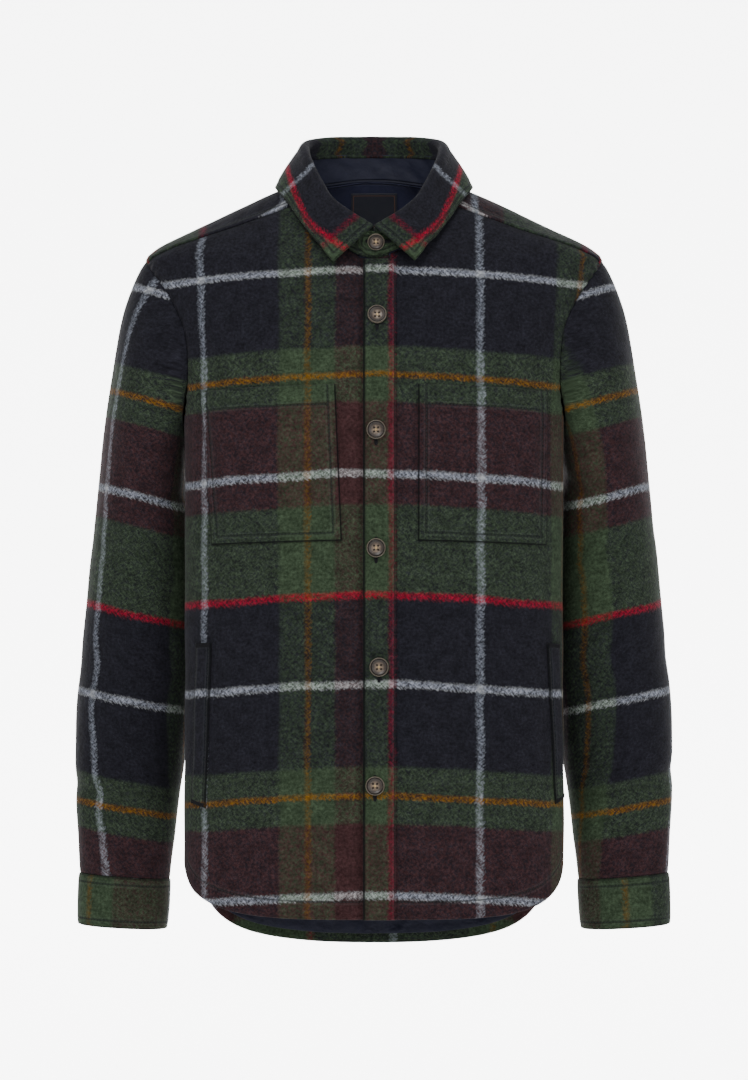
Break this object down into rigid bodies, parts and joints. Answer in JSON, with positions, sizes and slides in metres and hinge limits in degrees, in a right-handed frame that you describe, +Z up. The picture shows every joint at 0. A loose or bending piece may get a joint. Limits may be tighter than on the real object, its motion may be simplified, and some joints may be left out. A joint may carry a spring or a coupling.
{
  "type": "shacket",
  "caption": "Hip-length wool plaid shirt jacket with a turned-down collar, button placket, two chest patch pockets and side welts, closed and filled out.",
  "frame": {"origin": "between the shoulders at the foot of the neck, where a wearer carries the jacket", "axes": "+Z up along the body, +X towards the wearer's left sleeve, -Y towards the buttoned front"},
  "size_m": [0.6015, 0.2564, 0.8215],
  "materials": {
    "plaid_navy": "brushed wool, tartan with navy ground",
    "plaid_green": "brushed wool, tartan with green ground",
    "plaid_wine": "brushed wool, tartan with wine ground",
    "lining_navy": "smooth lining cloth",
    "label_dark": "woven label, bare",
    "horn_brown": "polished horn-like resin"
  },
  "bodies": {
    "root": {"back": "plaid_green", "yoke": "plaid_wine", "front_left": "plaid_navy", "front_right": "plaid_green", "placket": "plaid_wine", "pocket_left": "plaid_green", "pocket_right": "plaid_green", "welt_left": "plaid_navy", "welt_right": "plaid_navy", "sleeve_left": "plaid_green", "sleeve_right": "plaid_green", "cuff_left": "plaid_navy", "cuff_right": "plaid_navy", "collar_stand": "plaid_green", "collar_leaf": "plaid_navy", "yoke_lining": "lining_navy", "back_lining": "lining_navy", "label": "label_dark", "button_1": "horn_brown", "button_2": "horn_brown", "button_3": "horn_brown", "button_4": "horn_brown", "button_5": "horn_brown", "button_6": "horn_brown", "cuff_button_left": "horn_brown", "cuff_button_right": "horn_brown"}
  },
  "joints": []
}
